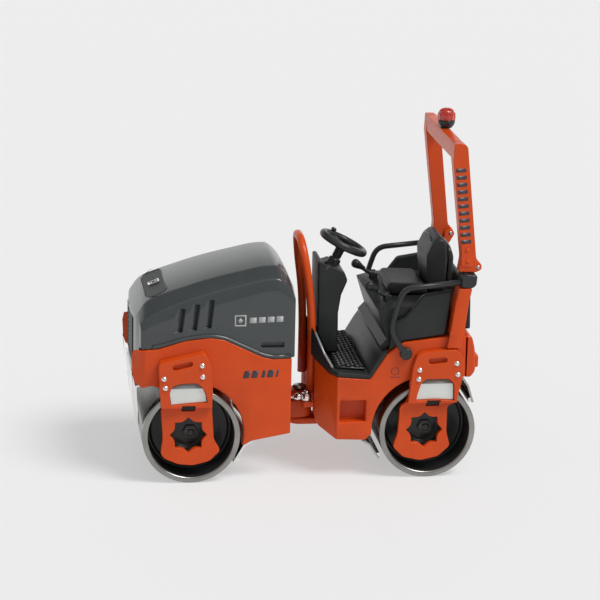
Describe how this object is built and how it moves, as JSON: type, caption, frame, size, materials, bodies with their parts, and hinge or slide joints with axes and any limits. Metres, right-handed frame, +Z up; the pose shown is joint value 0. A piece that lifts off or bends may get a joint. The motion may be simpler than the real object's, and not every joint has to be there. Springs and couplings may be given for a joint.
{
  "type": "toy road roller",
  "caption": "Articulated tandem drum roller toy: two smooth steel drums, bonnet, open operator's platform with seat, folding rollover hoop and beacon.",
  "frame": {"origin": "on the floor, at the middle of the model's length and width", "axes": "+X forwards towards the bonnet, +Y to the operator's left, +Z up"},
  "size_m": [0.0514, 0.0264, 0.0538],
  "materials": {
    "orange_paint": "gloss",
    "hood_graphite": "gloss metallic",
    "black_plastic": "satin",
    "black_rail": "satin",
    "mat_rubber": "ribbed matte",
    "drum_metal": "machined",
    "drum_disc": "satin",
    "chrome": "polished",
    "pin_steel": "bright",
    "beacon_lens": "clear red plastic"
  },
  "bodies": {
    "rear_half": {"rear_frame": "orange_paint", "counterweight": "orange_paint", "operator_platform": "black_plastic", "foot_mat": "mat_rubber", "seat_base": "black_plastic", "rear_cover": "black_plastic", "seat_cushion": "black_plastic", "seat_back": "black_plastic", "seat_shell": "black_plastic", "steering_column": "black_plastic", "front_hoop": "orange_paint", "side_wall_left": "black_plastic", "side_wall_right": "black_plastic", "handrail_left": "black_rail", "handrail_right": "black_rail", "rail_clamp_left": "black_rail", "rail_clamp_right": "black_rail", "rops_lower_post_left": "orange_paint", "rops_lower_post_right": "orange_paint", "rear_leg_left": "orange_paint", "rear_leg_right": "orange_paint", "rear_leg_window_left": "drum_metal", "rear_leg_window_right": "drum_metal", "rear_hub_cup_left": "drum_disc", "rear_hub_cup_right": "drum_disc", "rear_axle": "pin_steel", "rear_scraper_front": "chrome", "rear_scraper_tail": "chrome", "articulation_pin": "pin_steel"},
    "knuckle": {"articulation_knuckle": "orange_paint", "oscillation_pin": "pin_steel"},
    "front_half": {"front_side_left": "orange_paint", "front_side_right": "orange_paint", "front_deck": "orange_paint", "hood": "hood_graphite", "hood_grille": "black_plastic", "hood_latch": "chrome", "front_leg_left": "orange_paint", "front_leg_right": "orange_paint", "front_leg_window_left": "drum_metal", "front_leg_window_right": "drum_metal", "front_hub_cup_left": "drum_disc", "front_hub_cup_right": "drum_disc", "front_axle": "pin_steel", "front_scraper_nose": "chrome", "front_scraper_rear": "chrome"},
    "front_drum": {"front_drum_shell": "drum_metal", "front_drum_disc_left": "drum_disc", "front_drum_disc_right": "drum_disc"},
    "rear_drum": {"rear_drum_shell": "drum_metal", "rear_drum_disc_left": "drum_disc", "rear_drum_disc_right": "drum_disc"},
    "cylinder_rod": {"steering_cylinder_rod": "chrome"},
    "cylinder_barrel": {"steering_cylinder_barrel": "black_rail"},
    "rollover_hoop": {"rops_hoop": "orange_paint", "beacon_base": "black_plastic", "beacon_lens": "beacon_lens"},
    "steering_wheel": {"steering_wheel": "black_plastic"},
    "drive_lever_left": {"drive_lever_left": "black_plastic"},
    "drive_lever_right": {"drive_lever_right": "black_plastic"}
  },
  "joints": [
    {"name": "steer", "type": "hinge", "parent": "rear_half", "child": "knuckle", "pos_m": [-0.00065, 0, 0.00765], "axis": [0, 0, 1], "range_deg": [-16, 16]},
    {"name": "oscillation", "type": "hinge", "parent": "knuckle", "child": "front_half", "pos_m": [0.00335, 0, 0.00765], "axis": [1, 0, 0], "range_deg": [-6, 6]},
    {"name": "front_drum_spin", "type": "hinge", "parent": "front_half", "child": "front_drum", "pos_m": [0.01685, 0, 0.00719], "axis": [0, 1, 0], "continuous": true},
    {"name": "rear_drum_spin", "type": "hinge", "parent": "rear_half", "child": "rear_drum", "pos_m": [-0.01815, 0, 0.00719], "axis": [0, 1, 0], "continuous": true},
    {"name": "cylinder_swing", "type": "hinge", "parent": "rear_half", "child": "cylinder_rod", "pos_m": [-0.00085, 0.006, 0.011], "axis": [0, 0, 1], "range_deg": [-17, 17]},
    {"name": "cylinder_stroke", "type": "slide", "parent": "cylinder_rod", "child": "cylinder_barrel", "axis": [1, 0, 0], "range_m": [-0.0018, 0.0018]},
    {"name": "rollover_fold", "type": "hinge", "parent": "rear_half", "child": "rollover_hoop", "pos_m": [-0.02485, 0, 0.032], "axis": [0, -1, 0], "range_deg": [0, 100]},
    {"name": "steering_wheel_turn", "type": "hinge", "parent": "rear_half", "child": "steering_wheel", "pos_m": [-0.00675, 0, 0.033], "axis": [-0.4384, 0, 0.8988], "continuous": true},
    {"name": "drive_lever_left_tilt", "type": "hinge", "parent": "rear_half", "child": "drive_lever_left", "pos_m": [-0.01255, 0.0063, 0.02635], "axis": [0, 1, 0], "range_deg": [-12, 12]},
    {"name": "drive_lever_right_tilt", "type": "hinge", "parent": "rear_half", "child": "drive_lever_right", "pos_m": [-0.01255, -0.0063, 0.02635], "axis": [0, 1, 0], "range_deg": [-12, 12]}
  ],
  "couplings": [
    {"joint": "cylinder_swing", "follows": "steer", "ratio": 1.01},
    {"joint": "cylinder_stroke", "follows": "steer", "m_per_rad": -0.00587},
    {"joint": "drive_lever_right_tilt", "follows": "drive_lever_left_tilt", "ratio": 1}
  ]
}
